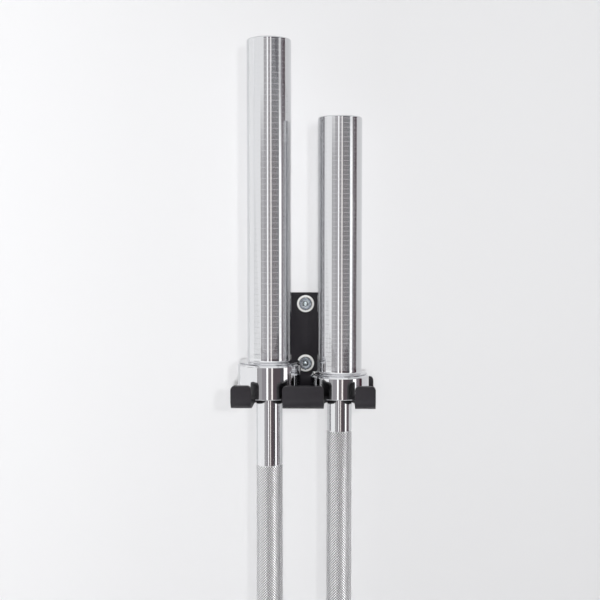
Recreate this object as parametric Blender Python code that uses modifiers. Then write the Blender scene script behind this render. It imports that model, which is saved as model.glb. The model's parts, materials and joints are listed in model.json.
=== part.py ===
"""A wall rack that stores two barbells upright, with both bars hanging in it.

One bent steel bracket is held to the wall by two lag screws. Each bar hangs by the
collar of its upper sleeve, and its shaft drops through an open slot in the shelf.
Units are metres, +Z is up, the wall is the plane y = 0 and the room lies towards -Y.
The origin lies on the wall, midway between the two screws.
"""

import math

import bmesh
import bpy
from mathutils import Matrix, Vector

# Gap between pieces that rest on, seat in or turn on each other
GAP = 0.0003

# Gap under the collars, whose edges come close to where the shelf rises into its bends
COLLAR_SEAT_GAP = 0.0006

# Both bars
SLEEVE_DIAMETER = 0.050
SLEEVE_END_CHAMFER = 0.0014
GRIP_LENGTH = 1.310
GRIP_CHAMFER = 0.0008
JOURNAL_STEP = 0.0015
COLLAR_FILLET = 0.0026
COLLAR_SLOPE = 0.0007
COLLAR_RIM_INSET = 0.0017
COLLAR_RIM_CHAMFER = 0.0024
COLLAR_EDGE_CHAMFER = 0.0007

# The left bar is the thicker and longer one
LEFT_SHAFT_DIAMETER = 0.030
LEFT_COLLAR_STEP = 0.0112
LEFT_COLLAR_WIDTH = 0.0406
LEFT_SLEEVE_LENGTH = 0.3612

# The right bar
RIGHT_SHAFT_DIAMETER = 0.028
RIGHT_COLLAR_STEP = 0.0082
RIGHT_COLLAR_WIDTH = 0.0280
RIGHT_SLEEVE_LENGTH = 0.2870

# What turns inside each sleeve
BUSHING_RECESS = 0.0006
BUSHING_WALL = 0.0032
BUSHING_LENGTH = 0.030
RELIEF_DEPTH = 0.0015
BEARING_LENGTH = 0.020
BEARING_NEEDLES = 16
NEEDLE_FLUTE = 0.0012
THRUST_WASHER_THICKNESS = 0.0016
SNAP_RING_THICKNESS = 0.0018
SNAP_RING_HEIGHT = 0.0030
SNAP_GROOVE_DEPTH = 0.0010
JOURNAL_TIP = 0.003

# What closes each sleeve
CAP_ROOM = 0.003
CAP_THICKNESS = 0.005
CAP_EDGE_CHAMFER = 0.0006
CAP_RECESS = 0.0038
CAP_RING_THICKNESS = 0.0015
CAP_RING_HEIGHT = 0.0028
CAP_GROOVE_DEPTH = 0.0010
CAP_RING_EAR = 0.0020
CAP_RING_EAR_HOLE = 0.0010
RING_OPENING = math.radians(36)
RING_EAR_ANGLE = math.radians(14)

# The bracket, bent from one plate
PLATE = 0.008
BEND_INSIDE = 0.004
LIP_HEIGHT = 0.026
FLANGE_HEIGHT = 0.026
STEM_WIDTH = 0.040
OUTER_LIP_WIDTH = 0.0225
SLOT_CLEARANCE = 0.0045
COLLAR_TO_COLLAR = 0.0106
COLLAR_TO_FLANGE = 0.004
COLLAR_TO_LIP = 0.003
CORNER_RADIUS = 0.0045
BROKEN_EDGE = 0.0006

# The lag screws through the bracket's stem
SCREW_SPACING = 0.070
SCREW_FROM_TOP = 0.013
SCREW_ABOVE_FLANGE = 0.016
SCREW_DIAMETER = 0.008
SCREW_LENGTH = 0.060
SCREW_POINT = 0.007
SCREW_HOLE_CLEARANCE = 0.001
HEAD_ACROSS_FLATS = 0.013
HEAD_HEIGHT = 0.0055
HEAD_DISH_DEPTH = 0.0005
HEAD_DISH_FROM_FLATS = 0.0031
WASHER_DIAMETER = 0.020
WASHER_THICKNESS = 0.002
WASHER_CHAMFER = 0.0004

# Facets
SLEEVE_SEGMENTS = 32
SMALL_SEGMENTS = 24
EAR_HOLE_SEGMENTS = 8
BEND_STEPS = 5
CORNER_STEPS = 3
SLOT_STEPS = 9
FILLET_STEPS = 3

# Worked out from the sizes above
LARGEST_SHAFT = max(LEFT_SHAFT_DIAMETER, RIGHT_SHAFT_DIAMETER)
LEFT_COLLAR_RADIUS = SLEEVE_DIAMETER / 2 + LEFT_COLLAR_STEP
RIGHT_COLLAR_RADIUS = SLEEVE_DIAMETER / 2 + RIGHT_COLLAR_STEP
LARGEST_COLLAR = max(LEFT_COLLAR_RADIUS, RIGHT_COLLAR_RADIUS)
BAR_SPACING = LEFT_COLLAR_RADIUS + COLLAR_TO_COLLAR + RIGHT_COLLAR_RADIUS
BAR_FROM_WALL = PLATE + COLLAR_TO_FLANGE + LARGEST_COLLAR
SLOT_WIDTH = LARGEST_SHAFT + SLOT_CLEARANCE
BRACKET_WIDTH = BAR_SPACING + SLOT_WIDTH + 2 * OUTER_LIP_WIDTH
BRACKET_DEPTH = BAR_FROM_WALL + LARGEST_COLLAR + COLLAR_TO_LIP + PLATE
BEND_OUTSIDE = BEND_INSIDE + PLATE
STEM_TOP = SCREW_SPACING / 2 + SCREW_FROM_TOP
FLANGE_TOP = -SCREW_SPACING / 2 - SCREW_ABOVE_FLANGE
UNDERSIDE = FLANGE_TOP - FLANGE_HEIGHT
SHELF_TOP = UNDERSIDE + PLATE
SCREW_HEIGHTS = {"upper": SCREW_SPACING / 2, "lower": -SCREW_SPACING / 2}

PARTS = "wall_barbell_rack"
CUTTERS = "cutters"

# Finishes: name, colour, metallic, roughness
CHROME = ("polished_chrome", (0.80, 0.81, 0.83), 1.0, 0.08)
GRIP_CHROME = ("grip_chrome", (0.74, 0.75, 0.77), 1.0, 0.25)
BLACK_COAT = ("black_powder_coat", (0.030, 0.029, 0.032), 0.0, 0.50)
ZINC = ("zinc_plate", (0.72, 0.74, 0.74), 1.0, 0.28)
BRONZE = ("bearing_bronze", (0.55, 0.36, 0.16), 1.0, 0.35)
BEARING_STEEL = ("bearing_steel", (0.55, 0.56, 0.58), 1.0, 0.25)
SPRING_STEEL = ("spring_steel", (0.12, 0.12, 0.13), 1.0, 0.40)


# Helpers


def clear_scene():
    for obj in list(bpy.data.objects):
        bpy.data.objects.remove(obj, do_unlink=True)
    for name in (PARTS, CUTTERS):
        collection = bpy.data.collections.new(name)
        bpy.context.scene.collection.children.link(collection)


def material(finish_spec):
    """The Principled material of this finish, made once."""
    name, colour, metallic, roughness = finish_spec
    made = bpy.data.materials.get(name)
    if made is None:
        made = bpy.data.materials.new(name)
        made.use_nodes = True
        shader = made.node_tree.nodes["Principled BSDF"]
        shader.inputs["Base Color"].default_value = (*colour, 1.0)
        shader.inputs["Metallic"].default_value = metallic
        shader.inputs["Roughness"].default_value = roughness
    return made


def add_object(name, data, collection=PARTS):
    obj = bpy.data.objects.new(name, data)
    bpy.data.collections[collection].objects.link(obj)
    return obj


def evaluated_mesh(obj):
    bpy.context.view_layer.update()
    graph = bpy.context.evaluated_depsgraph_get()
    return bpy.data.meshes.new_from_object(obj.evaluated_get(graph))


def apply_modifiers(obj):
    mesh = evaluated_mesh(obj)
    obj.modifiers.clear()
    obj.data = mesh


def finish(obj, finish_spec, parent):
    """Gives a piece its material, its shading and the frame that it is placed in."""
    obj.data.materials.clear()
    obj.data.materials.append(material(finish_spec))
    obj.data.shade_smooth()
    obj.data.set_sharp_from_angle(angle=math.radians(32))
    obj.parent = parent


def add_frame(name, location, rotation=(0, 0, 0), parent=None):
    """An empty that pieces are parented to."""
    frame = add_object(name, None)
    frame.empty_display_size = 0.02
    frame.location = location
    frame.rotation_euler = rotation
    frame.parent = parent
    return frame


def turned(name, profile, segments, closed=False, collection=PARTS):
    """A body of revolution about Z. The profile's (radius, height) points run down
    its outer side. A closed profile is a ring's whole section."""
    edges = [(i, i + 1) for i in range(len(profile) - 1)]
    if closed:
        edges.append((len(profile) - 1, 0))
    mesh = bpy.data.meshes.new(name)
    mesh.from_pydata([(r, 0, z) for r, z in profile], edges, [])
    obj = add_object(name, mesh, collection)
    screw = obj.modifiers.new("turn", "SCREW")
    screw.steps = segments
    screw.render_steps = segments
    screw.use_merge_vertices = True
    screw.merge_threshold = 0.00001
    apply_modifiers(obj)
    return obj


def turned_ring(name, inner, outer, bottom, top, segments, chamfer=0.0):
    """A plain ring, its outer edges broken where a chamfer is given."""
    profile = [(outer, top), (outer, bottom), (inner, bottom), (inner, top)]
    if chamfer:
        profile = [
            (outer - chamfer, top),
            (outer, top - chamfer),
            (outer, bottom + chamfer),
            (outer - chamfer, bottom),
            (inner, bottom),
            (inner, top),
        ]
    return turned(name, profile, segments, closed=True)


def arc(radius, start, end, steps, centre=(0, 0)):
    """Points on an arc between two angles."""
    angles = [start + (end - start) * i / steps for i in range(steps + 1)]
    x, y = centre
    return [(x + radius * math.cos(a), y + radius * math.sin(a)) for a in angles]


def circle(radius, steps, centre=(0, 0)):
    return arc(radius, 0, math.tau, steps, centre)[:-1]


def rounded(corners):
    """A closed outline through (x, y, radius, steps) corners, which are all square."""
    points = []
    for i, (x, y, radius, steps) in enumerate(corners):
        corner = Vector((x, y))
        to_last = (Vector(corners[i - 1][:2]) - corner).normalized()
        to_next = (Vector(corners[(i + 1) % len(corners)][:2]) - corner).normalized()
        centre = corner + (to_last + to_next) * radius
        for k in range(steps + 1):
            angle = math.pi / 2 * k / steps
            spoke = to_next * math.cos(angle) + to_last * math.sin(angle)
            point = centre - spoke * radius
            if not points or (point - points[-1]).length > 0.00001:
                points.append(point)
    return [tuple(point) for point in points]


def flat_plate(name, outlines, bottom, thickness):
    """A plate cut to closed XY outlines. Those inside the first one are holes."""
    curve = bpy.data.curves.new(name, "CURVE")
    curve.dimensions = "2D"
    curve.fill_mode = "BOTH"
    curve.extrude = thickness / 2
    for outline in outlines:
        spline = curve.splines.new("POLY")
        spline.points.add(len(outline) - 1)
        for point, (x, y) in zip(spline.points, outline):
            point.co = (x, y, 0, 1)
        spline.use_cyclic_u = True
    source = add_object(name + "_outline", curve, CUTTERS)
    mesh = evaluated_mesh(source)
    bpy.data.objects.remove(source)
    shape = bmesh.new()
    shape.from_mesh(mesh)
    bmesh.ops.remove_doubles(shape, verts=shape.verts, dist=0.00001)
    bmesh.ops.translate(shape, verts=shape.verts, vec=(0, 0, bottom + thickness / 2))
    bmesh.ops.recalc_face_normals(shape, faces=shape.faces)
    shape.to_mesh(mesh)
    shape.free()
    return add_object(name, mesh)


def boolean(obj, other, operation):
    """Joins or intersects obj with a helper solid, which is then removed."""
    modifier = obj.modifiers.new(operation.lower(), "BOOLEAN")
    modifier.operation = operation
    modifier.solver = "EXACT"
    modifier.object = other
    apply_modifiers(obj)
    bpy.data.objects.remove(other)


# The bracket: a flat blank is cut out, bent twice and has its edges broken


def blank_lengths():
    """Lengths down the blank: the wall plate, a bend, the shelf and a lip."""
    wall_plate = STEM_TOP - UNDERSIDE - BEND_OUTSIDE
    bend = BEND_OUTSIDE * math.pi / 2
    shelf = BRACKET_DEPTH - 2 * BEND_OUTSIDE
    lip = LIP_HEIGHT - BEND_OUTSIDE
    return wall_plate, bend, shelf, lip


def bracket_blank():
    """The blank, with x across the rack. Its y runs from the stem's top down the wall
    plate, out along the shelf and up the lips."""
    wall_plate, bend, shelf, lip = blank_lengths()
    end = wall_plate + 2 * bend + shelf + lip
    shoulder = STEM_TOP - FLANGE_TOP
    slot_end = wall_plate + bend + BAR_FROM_WALL - BEND_OUTSIDE - SLOT_WIDTH / 2
    edge = BRACKET_WIDTH / 2
    stem = STEM_WIDTH / 2
    corner = (CORNER_RADIUS, CORNER_STEPS)
    slot_corner = (SLOT_WIDTH / 2, SLOT_STEPS)
    corners = [
        (stem, 0, *corner),
        (-stem, 0, *corner),
        (-stem, shoulder, *corner),
        (-edge, shoulder, *corner),
        (-edge, end, *corner),
    ]
    for bar_x in (-BAR_SPACING / 2, BAR_SPACING / 2):
        near = bar_x - SLOT_WIDTH / 2
        far = bar_x + SLOT_WIDTH / 2
        corners += [
            (near, end, *corner),
            (near, slot_end, *slot_corner),
            (far, slot_end, *slot_corner),
            (far, end, *corner),
        ]
    corners += [
        (edge, end, *corner),
        (edge, shoulder, *corner),
        (stem, shoulder, *corner),
    ]
    hole = (SCREW_DIAMETER + SCREW_HOLE_CLEARANCE) / 2
    holes = [
        circle(hole, SMALL_SEGMENTS, (0, STEM_TOP - height))
        for height in SCREW_HEIGHTS.values()
    ]
    return flat_plate("hanger_bracket", [rounded(corners), *holes], 0, PLATE)


def bent(point):
    """Where a point of the blank lies after the two bends."""
    x, along, depth = point
    wall_plate, bend, shelf, _ = blank_lengths()
    radius = BEND_OUTSIDE - depth
    if along <= wall_plate:
        return (x, -depth, STEM_TOP - along)
    along -= wall_plate
    if along <= bend:
        angle = along / BEND_OUTSIDE
        y = -BEND_OUTSIDE + radius * math.cos(angle)
        return (x, y, UNDERSIDE + BEND_OUTSIDE - radius * math.sin(angle))
    along -= bend
    if along <= shelf:
        return (x, -BEND_OUTSIDE - along, UNDERSIDE + depth)
    along -= shelf
    if along <= bend:
        angle = along / BEND_OUTSIDE
        y = BEND_OUTSIDE - BRACKET_DEPTH - radius * math.sin(angle)
        return (x, y, UNDERSIDE + BEND_OUTSIDE - radius * math.cos(angle))
    along -= bend
    return (x, depth - BRACKET_DEPTH, UNDERSIDE + BEND_OUTSIDE + along)


def make_bracket():
    obj = bracket_blank()
    wall_plate, bend, shelf, _ = blank_lengths()
    shape = bmesh.new()
    shape.from_mesh(obj.data)
    for start in (wall_plate, wall_plate + bend + shelf):
        for step in range(BEND_STEPS + 1):
            bmesh.ops.bisect_plane(
                shape,
                geom=[*shape.verts, *shape.edges, *shape.faces],
                dist=0.000001,
                plane_co=(0, start + bend * step / BEND_STEPS, 0),
                plane_no=(0, 1, 0),
            )
    for vert in shape.verts:
        vert.co = bent(vert.co)
    bmesh.ops.dissolve_limit(
        shape,
        angle_limit=math.radians(0.5),
        verts=shape.verts,
        edges=shape.edges,
    )
    bmesh.ops.recalc_face_normals(shape, faces=shape.faces)
    shape.to_mesh(obj.data)
    shape.free()
    bevel = obj.modifiers.new("broken edges", "BEVEL")
    bevel.width = BROKEN_EDGE
    bevel.segments = 1
    bevel.limit_method = "ANGLE"
    bevel.angle_limit = math.radians(50)
    apply_modifiers(obj)
    finish(obj, BLACK_COAT, None)


# The wall fixings, each in a frame on the wall whose +Z points into the room


def make_lag_screw(name, frame):
    """A hexagon head on a plain shank with a point. The head's corners are chamfered
    and its face is dished."""
    across_corners = HEAD_ACROSS_FLATS / math.cos(math.pi / 6)
    corner_chamfer = (across_corners - HEAD_ACROSS_FLATS) / 2
    dish = HEAD_ACROSS_FLATS / 2 - HEAD_DISH_FROM_FLATS
    seat = PLATE + WASHER_THICKNESS + 2 * GAP
    top = seat + HEAD_HEIGHT
    profile = [
        (0, top - HEAD_DISH_DEPTH),
        (dish - HEAD_DISH_DEPTH, top - HEAD_DISH_DEPTH),
        (dish, top),
        (HEAD_ACROSS_FLATS / 2 - corner_chamfer / 2, top),
        (across_corners / 2, top - corner_chamfer),
        (across_corners / 2, seat),
        (0, seat),
    ]
    head = turned(name, profile, SMALL_SEGMENTS)
    hexagon = bmesh.new()
    bmesh.ops.create_cone(
        hexagon,
        cap_ends=True,
        segments=6,
        radius1=across_corners / 2,
        radius2=across_corners / 2,
        depth=3 * HEAD_HEIGHT,
        matrix=Matrix.Translation((0, 0, seat)),
    )
    mesh = bpy.data.meshes.new("hexagon")
    hexagon.to_mesh(mesh)
    hexagon.free()
    boolean(head, add_object("hexagon", mesh, CUTTERS), "INTERSECT")
    radius = SCREW_DIAMETER / 2
    tip = seat - SCREW_LENGTH
    shank_profile = [
        (0, seat + HEAD_HEIGHT / 2),
        (radius, seat + HEAD_HEIGHT / 2),
        (radius, tip + SCREW_POINT),
        (0, tip),
    ]
    shank = turned("shank", shank_profile, SMALL_SEGMENTS, collection=CUTTERS)
    boolean(head, shank, "UNION")
    finish(head, ZINC, frame)


def make_washer(name, frame):
    obj = turned_ring(
        name,
        inner=(SCREW_DIAMETER + SCREW_HOLE_CLEARANCE) / 2,
        outer=WASHER_DIAMETER / 2,
        bottom=PLATE + GAP,
        top=PLATE + GAP + WASHER_THICKNESS,
        segments=SMALL_SEGMENTS,
        chamfer=WASHER_CHAMFER,
    )
    finish(obj, ZINC, frame)


def make_wall_fixings():
    for place, height in SCREW_HEIGHTS.items():
        frame = add_frame(place + "_fixing", (0, 0, height), (math.pi / 2, 0, 0))
        make_lag_screw(place + "_lag_screw", frame)
        make_washer(place + "_washer", frame)


# The bars, built upwards from the inner face of the upper collar


class Bar:
    """The radii and heights that the pieces of one bar share."""

    def __init__(self, side, x, shaft_diameter, collar_radius, collar_width, sleeve_length):
        self.side = side
        self.x = x
        self.grip = shaft_diameter / 2
        self.journal = self.grip - JOURNAL_STEP
        self.collar_radius = collar_radius
        self.collar_width = collar_width
        self.end = collar_width + sleeve_length
        self.running = self.journal + GAP
        self.seated = self.running + BUSHING_WALL
        self.bore = self.seated + GAP
        self.cap_bore = (self.bore + SLEEVE_DIAMETER / 2) / 2
        self.bushing_top = BUSHING_RECESS + BUSHING_LENGTH
        self.cap_ring_top = self.end - CAP_RECESS
        self.cap_ring_bottom = self.cap_ring_top - CAP_RING_THICKNESS
        self.cap_top = self.cap_ring_bottom - GAP
        self.cap_bottom = self.cap_top - CAP_THICKNESS
        self.journal_end = self.cap_bottom - CAP_ROOM
        self.snap_top = self.journal_end - JOURNAL_TIP
        self.snap_bottom = self.snap_top - SNAP_RING_THICKNESS
        self.thrust_top = self.snap_bottom - GAP
        self.thrust_bottom = self.thrust_top - THRUST_WASHER_THICKNESS
        self.bearing_top = self.thrust_bottom - GAP
        self.bearing_bottom = self.bearing_top - BEARING_LENGTH


def make_shaft(bar, frame):
    """The grip, and at each end a journal with a groove for its snap ring."""
    groove = bar.journal - SNAP_GROOVE_DEPTH
    upper_half = [
        (0, bar.journal_end),
        (bar.journal - GRIP_CHAMFER, bar.journal_end),
        (bar.journal, bar.journal_end - GRIP_CHAMFER),
        (bar.journal, bar.snap_top + GAP),
        (groove, bar.snap_top + GAP),
        (groove, bar.snap_bottom - GAP),
        (bar.journal, bar.snap_bottom - GAP),
        (bar.journal, 0),
        (bar.grip - GRIP_CHAMFER, 0),
        (bar.grip, -GRIP_CHAMFER),
    ]
    lower_half = [(r, -GRIP_LENGTH - z) for r, z in reversed(upper_half)]
    obj = turned(bar.side + "_shaft", upper_half + lower_half, SMALL_SEGMENTS)
    finish(obj, GRIP_CHROME, frame)


def make_sleeve(bar, name, frame):
    """The sleeve with its collar, turned from one bar and bored for the bearings."""
    outer = SLEEVE_DIAMETER / 2
    collar = bar.collar_radius
    relief = bar.running + RELIEF_DEPTH
    groove = bar.cap_bore + CAP_GROOVE_DEPTH
    slope_end = bar.collar_width - COLLAR_SLOPE
    fillet = arc(
        COLLAR_FILLET,
        math.pi,
        1.5 * math.pi,
        FILLET_STEPS,
        (outer + COLLAR_FILLET, bar.collar_width + COLLAR_FILLET),
    )
    outside = [
        (outer - SLEEVE_END_CHAMFER, bar.end),
        (outer, bar.end - SLEEVE_END_CHAMFER),
        *fillet,
        (collar - COLLAR_RIM_INSET, slope_end),
        (collar, slope_end - COLLAR_RIM_CHAMFER),
        (collar, COLLAR_EDGE_CHAMFER),
        (collar - COLLAR_EDGE_CHAMFER, 0),
    ]
    inside = [
        (bar.bore, 0),
        (bar.bore, bar.bushing_top + GAP),
        (relief, bar.bushing_top + GAP),
        (relief, bar.bearing_bottom - GAP),
        (bar.bore, bar.bearing_bottom - GAP),
        (bar.bore, bar.cap_bottom - GAP),
        (bar.cap_bore, bar.cap_bottom - GAP),
        (bar.cap_bore, bar.cap_ring_bottom - GAP),
        (groove, bar.cap_ring_bottom - GAP),
        (groove, bar.cap_ring_top + GAP),
        (bar.cap_bore, bar.cap_ring_top + GAP),
        (bar.cap_bore, bar.end),
    ]
    obj = turned(name, outside + inside, SLEEVE_SEGMENTS, closed=True)
    finish(obj, CHROME, frame)


def make_bushing(bar, name, frame):
    obj = turned_ring(
        name,
        inner=bar.running,
        outer=bar.seated,
        bottom=BUSHING_RECESS,
        top=bar.bushing_top,
        segments=SMALL_SEGMENTS,
    )
    finish(obj, BRONZE, frame)


def make_needle_bearing(bar, name, frame):
    """A drawn cup and its needles as one piece, the needles standing out of its bore."""
    pitch = math.tau / BEARING_NEEDLES
    bore = []
    for i in range(BEARING_NEEDLES):
        bore += arc(bar.running + NEEDLE_FLUTE, pitch * i, pitch * (i + 0.2), 1)
        bore += arc(bar.running, pitch * (i + 0.4), pitch * (i + 0.8), 1)
    outlines = [circle(bar.seated, SMALL_SEGMENTS), bore]
    obj = flat_plate(name, outlines, bar.bearing_bottom, BEARING_LENGTH)
    finish(obj, BEARING_STEEL, frame)


def make_thrust_washer(bar, name, frame):
    obj = turned_ring(
        name,
        inner=bar.running,
        outer=bar.seated,
        bottom=bar.thrust_bottom,
        top=bar.thrust_top,
        segments=SMALL_SEGMENTS,
    )
    finish(obj, BRONZE, frame)


def make_snap_ring(bar, name, frame):
    """The open spring ring in the journal's groove, which carries the thrust washer."""
    inner = bar.journal - SNAP_GROOVE_DEPTH + GAP
    start, end = RING_OPENING / 2, math.tau - RING_OPENING / 2
    outline = arc(inner + SNAP_RING_HEIGHT, start, end, SMALL_SEGMENTS)
    outline += arc(inner, end, start, SMALL_SEGMENTS)
    obj = flat_plate(name, [outline], bar.snap_bottom, SNAP_RING_THICKNESS)
    finish(obj, SPRING_STEEL, frame)


def make_end_cap(bar, name, frame):
    """The disc on the ledge at the bore's end."""
    outer = bar.cap_bore - GAP
    profile = [
        (0, bar.cap_top),
        (outer - CAP_EDGE_CHAMFER, bar.cap_top),
        (outer, bar.cap_top - CAP_EDGE_CHAMFER),
        (outer, bar.cap_bottom),
        (0, bar.cap_bottom),
    ]
    finish(turned(name, profile, SMALL_SEGMENTS), CHROME, frame)


def make_cap_ring(bar, name, frame):
    """The inside retaining ring over the cap, with a holed ear at each end."""
    outer = bar.cap_bore + CAP_GROOVE_DEPTH - GAP
    inner = outer - CAP_RING_HEIGHT
    ear = inner - CAP_RING_EAR
    start, end = RING_OPENING / 2, math.tau - RING_OPENING / 2
    outline = arc(outer, start, end, SMALL_SEGMENTS)
    outline += arc(ear, end, end - RING_EAR_ANGLE, 2)
    outline += arc(inner, end - RING_EAR_ANGLE, start + RING_EAR_ANGLE, SMALL_SEGMENTS)
    outline += arc(ear, start + RING_EAR_ANGLE, start, 2)
    hole_radius = ear + (inner + CAP_RING_HEIGHT / 2 - ear) / 2
    holes = []
    for angle in (start + RING_EAR_ANGLE / 2, end - RING_EAR_ANGLE / 2):
        centre = (hole_radius * math.cos(angle), hole_radius * math.sin(angle))
        holes.append(circle(CAP_RING_EAR_HOLE, EAR_HOLE_SEGMENTS, centre))
    obj = flat_plate(name, [outline, *holes], bar.cap_ring_bottom, CAP_RING_THICKNESS)
    finish(obj, SPRING_STEEL, frame)


def make_bar(bar):
    """A shaft with a sleeve at each end. The lower end is the upper one turned over."""
    frame = add_frame(bar.side + "_bar", (bar.x, -BAR_FROM_WALL, SHELF_TOP + COLLAR_SEAT_GAP))
    make_shaft(bar, frame)
    ends = {
        "upper": add_frame(bar.side + "_upper_end", (0, 0, 0), parent=frame),
        "lower": add_frame(
            bar.side + "_lower_end", (0, 0, -GRIP_LENGTH), (math.pi, 0, 0), frame
        ),
    }
    for place, end_frame in ends.items():
        stem = f"{bar.side}_{place}_"
        make_sleeve(bar, stem + "sleeve", end_frame)
        make_bushing(bar, stem + "bushing", end_frame)
        make_needle_bearing(bar, stem + "needle_bearing", end_frame)
        make_thrust_washer(bar, stem + "thrust_washer", end_frame)
        make_snap_ring(bar, stem + "snap_ring", end_frame)
        make_end_cap(bar, stem + "end_cap", end_frame)
        make_cap_ring(bar, stem + "cap_ring", end_frame)


def main():
    clear_scene()
    make_bracket()
    make_wall_fixings()
    make_bar(
        Bar(
            side="left",
            x=-BAR_SPACING / 2,
            shaft_diameter=LEFT_SHAFT_DIAMETER,
            collar_radius=LEFT_COLLAR_RADIUS,
            collar_width=LEFT_COLLAR_WIDTH,
            sleeve_length=LEFT_SLEEVE_LENGTH,
        )
    )
    make_bar(
        Bar(
            side="right",
            x=BAR_SPACING / 2,
            shaft_diameter=RIGHT_SHAFT_DIAMETER,
            collar_radius=RIGHT_COLLAR_RADIUS,
            collar_width=RIGHT_COLLAR_WIDTH,
            sleeve_length=RIGHT_SLEEVE_LENGTH,
        )
    )


main()
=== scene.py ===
"""The looks of a wall rack with two barbells hanging in it.

Fine meshes stand for the bracket, its screws and washers, and for all that shows of the
bars: turned sleeves with their tool grooves, and shafts with cut knurling. They take
their places and main sizes from the frame. Units are metres, and the wall is y = 0.
"""

import json
import math

import bmesh
import bpy
from mathutils import Matrix, Vector


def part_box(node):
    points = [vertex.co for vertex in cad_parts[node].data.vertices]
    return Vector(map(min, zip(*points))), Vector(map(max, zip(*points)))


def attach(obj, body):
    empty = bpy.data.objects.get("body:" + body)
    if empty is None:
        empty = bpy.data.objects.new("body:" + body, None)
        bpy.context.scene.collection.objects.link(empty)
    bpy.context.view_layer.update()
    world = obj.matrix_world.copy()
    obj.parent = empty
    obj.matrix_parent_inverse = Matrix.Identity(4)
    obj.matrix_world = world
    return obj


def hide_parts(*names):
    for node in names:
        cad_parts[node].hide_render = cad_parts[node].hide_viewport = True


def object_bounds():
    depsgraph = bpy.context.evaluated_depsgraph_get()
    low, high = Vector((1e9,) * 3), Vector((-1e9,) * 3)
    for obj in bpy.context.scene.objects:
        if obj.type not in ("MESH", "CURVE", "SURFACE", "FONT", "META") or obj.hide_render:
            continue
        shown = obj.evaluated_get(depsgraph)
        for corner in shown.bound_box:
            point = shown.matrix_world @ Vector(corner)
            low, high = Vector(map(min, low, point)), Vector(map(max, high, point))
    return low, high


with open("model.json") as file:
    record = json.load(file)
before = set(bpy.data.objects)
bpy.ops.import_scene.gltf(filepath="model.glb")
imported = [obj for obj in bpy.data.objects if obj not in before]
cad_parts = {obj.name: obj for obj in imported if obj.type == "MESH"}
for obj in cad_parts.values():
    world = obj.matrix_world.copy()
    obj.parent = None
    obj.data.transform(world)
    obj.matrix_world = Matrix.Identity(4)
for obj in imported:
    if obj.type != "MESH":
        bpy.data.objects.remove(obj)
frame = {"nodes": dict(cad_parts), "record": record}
CAD_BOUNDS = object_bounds()

# Camera: where it stands, what it looks at and its lens on a 36 mm sensor
CAMERA_PLACE = (0.0415, -1.2084, 0.1050)
CAMERA_TARGET = (-0.0050, -0.0482, 0.0414)
CAMERA_LENS = 61.43
CAMERA_SENSOR = 36.0

# Sleeves, whose collars end in a rim with an undercut below it. Sharp edges are broken
# by EDGE_BREAK, and pieces that seat in each other are FIT_GAP apart.
SLEEVE_DIAMETER = 0.050
SLEEVE_END_CHAMFER = 0.0010
SLEEVE_MOUTH_CHAMFER = 0.0004
COLLAR_WIDTHS = {"left": 0.0406, "right": 0.0280}
COLLAR_FILLET = 0.0026
COLLAR_SLOPE = 0.0007
COLLAR_RIM_INSET = 0.0016
COLLAR_RIM_ROLL = 0.00003
COLLAR_RIM_CHAMFER = 0.0015
COLLAR_UNDERCUT = 0.0012
COLLAR_UNDERCUT_HEIGHT = 0.0019
COLLAR_EDGE_CHAMFER = 0.0007
CAP_ROUNDING = 0.0008
EDGE_BREAK = 0.0002
FIT_GAP = 0.0003

# How a sleeve's end is rounded: shares of its chamfer in from its side and down its side
SLEEVE_END_ROUNDING = [(1.0, 0.0), (0.2, 0.8), (0.0, 1.3)]

# Tool grooves of the sleeves: their pitch, every how many of them a deeper one, and how
# far they stay from the sleeve's end and from its collar's fillet
GROOVE_PITCHES = {"left": 0.000875, "right": 0.000865}
DEEP_GROOVES = {"left": 7, "right": 6}
GROOVE_HALF = 0.00010
DEEP_GROOVE_HALF = 0.00019
GROOVE_SLOPE = 24
GROOVES_FROM_END = 0.0030
GROOVES_FROM_FILLET = 0.0010

# Shafts
GRIP_LENGTH = 1.310
SHAFT_CHAMFER = 0.0008
JOURNAL_STEP = 0.0015
SHOULDER_DROP = 0.0002
SHOULDER_RUN = 0.0003

# Knurling: its stretches down from the upper collar's inner face, and its diamonds. They
# stand KNURL_RAISE proud of the shaft, between grooves KNURL_DEPTH deep. Each stretch
# reaches down into a seat that is turned in the shaft.
SMOOTH_NECKS = {"left": 0.0781, "right": 0.0386}
RING_MARK_FROM_CENTRE = 0.405
RING_MARK_WIDTH = 0.0045
KNURL_FROM_CENTRE = 0.215
CENTRE_KNURL_HALF = {"left": 0.060, "right": None}
DIAMOND_LENGTH = 0.0030
DIAMOND_WIDTH = 0.0030
DIAMOND_TOP = 0.50
KNURL_RAISE = 0.00005
KNURL_DEPTH = 0.00034
KNURL_SEAT = 0.0006
KNURL_SEAT_GAP = 0.00005
KNURL_END_BAND = 0.0001

# Bracket
PLATE = 0.008
BEND_INSIDE = 0.004
FLANGE_HEIGHT = 0.026
STEM_WIDTH = 0.040
SLOT_WIDTH = 0.0345
BAR_SPACING = 0.080
CORNER_RADIUS = 0.0045
EDGE_RADIUS = 0.0009
SCREW_HOLE = 0.009

# Screws and washers. A thread's crest takes up 2 / THREAD_SHARPNESS of its pitch, and a
# shank ends in a point POINT_SHARE as thick as itself.
HEAD_ACROSS_FLATS = 0.013
HEAD_HEIGHT = 0.0055
HEAD_EDGE = 0.0002
SHANK_RADIUS = 0.0040
PLAIN_SHANK_RADIUS = 0.00392
SHANK_RUN_OUT = 0.001
THREAD_PITCH = 0.0032
THREAD_DEPTH = 0.0009
THREAD_SHARPNESS = 5
POINT_SHARE = 0.04
WASHER_ROUNDING_SHARE = 0.3

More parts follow.
